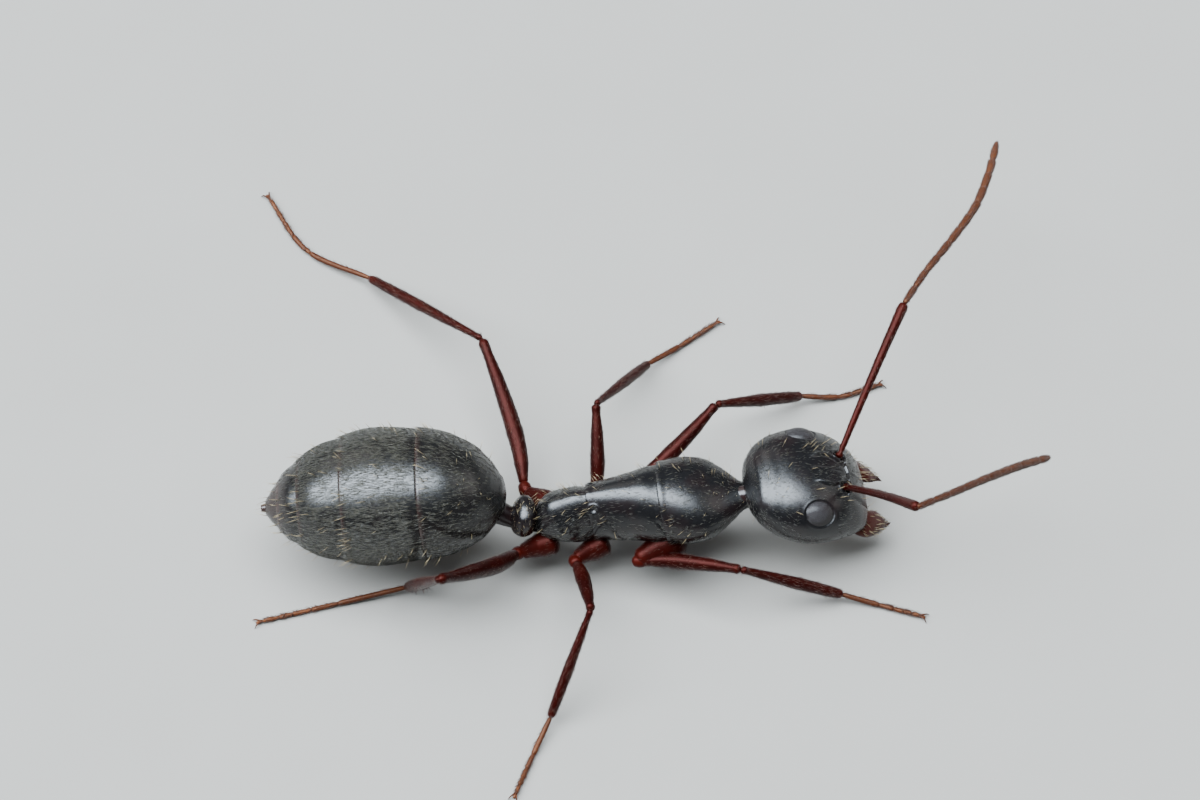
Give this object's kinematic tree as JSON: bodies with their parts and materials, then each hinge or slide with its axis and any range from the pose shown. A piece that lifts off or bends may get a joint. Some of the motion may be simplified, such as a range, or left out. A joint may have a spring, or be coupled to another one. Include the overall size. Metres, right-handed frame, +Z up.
{
  "type": "carpenter ant",
  "caption": "Still, life-size worker carpenter ant: round black head, narrow waist, large oval gaster, parted jaws, dark red bent legs and elbowed feelers held wide.",
  "frame": {"origin": "middle of the ant's outer box, on the floor under its feet", "axes": "+X towards the head, +Y to the ant's left, +Z up"},
  "size_m": [0.0131, 0.0116, 0.0039],
  "materials": {
    "body_shell": "glossy black chitin with a fine netted grain, dark red-brown at its seams",
    "gaster_shell": "black chitin with a satin sheen of fine pale hairs lying backwards",
    "eyes": "black, faceted, glossy",
    "jaws": "dark red-brown, glossy, nearly black teeth",
    "limbs": "dark mahogany red, glossy",
    "limb_tips": "lighter red-brown, satin, finely haired"
  },
  "bodies": {
    "root": {"pronotum": "body_shell", "mesothorax": "body_shell", "propodeum": "body_shell", "petiole": "body_shell", "gaster_segment_1": "gaster_shell", "gaster_segment_2": "gaster_shell", "gaster_segment_3": "gaster_shell", "gaster_segment_4": "gaster_shell", "gaster_segment_5": "gaster_shell", "head": "body_shell", "eye_left": "eyes", "eye_right": "eyes", "mandible_left": "jaws", "mandible_right": "jaws", "antenna_scape_left": "limbs", "antenna_funiculus_left": "limb_tips", "antenna_scape_right": "limbs", "antenna_funiculus_right": "limb_tips", "coxa_front_left": "limbs", "trochanter_front_left": "limbs", "femur_front_left": "limbs", "tibia_front_left": "limbs", "tarsus_front_left": "limb_tips", "coxa_front_right": "limbs", "trochanter_front_right": "limbs", "femur_front_right": "limbs", "tibia_front_right": "limbs", "tarsus_front_right": "limb_tips", "coxa_middle_left": "limbs", "trochanter_middle_left": "limbs", "femur_middle_left": "limbs", "tibia_middle_left": "limbs", "tarsus_middle_left": "limb_tips", "coxa_middle_right": "limbs", "trochanter_middle_right": "limbs", "femur_middle_right": "limbs", "tibia_middle_right": "limbs", "tarsus_middle_right": "limb_tips", "coxa_hind_left": "limbs", "trochanter_hind_left": "limbs", "femur_hind_left": "limbs", "tibia_hind_left": "limbs", "tarsus_hind_left": "limb_tips", "coxa_hind_right": "limbs", "trochanter_hind_right": "limbs", "femur_hind_right": "limbs", "tibia_hind_right": "limbs", "tarsus_hind_right": "limb_tips"}
  },
  "joints": []
}
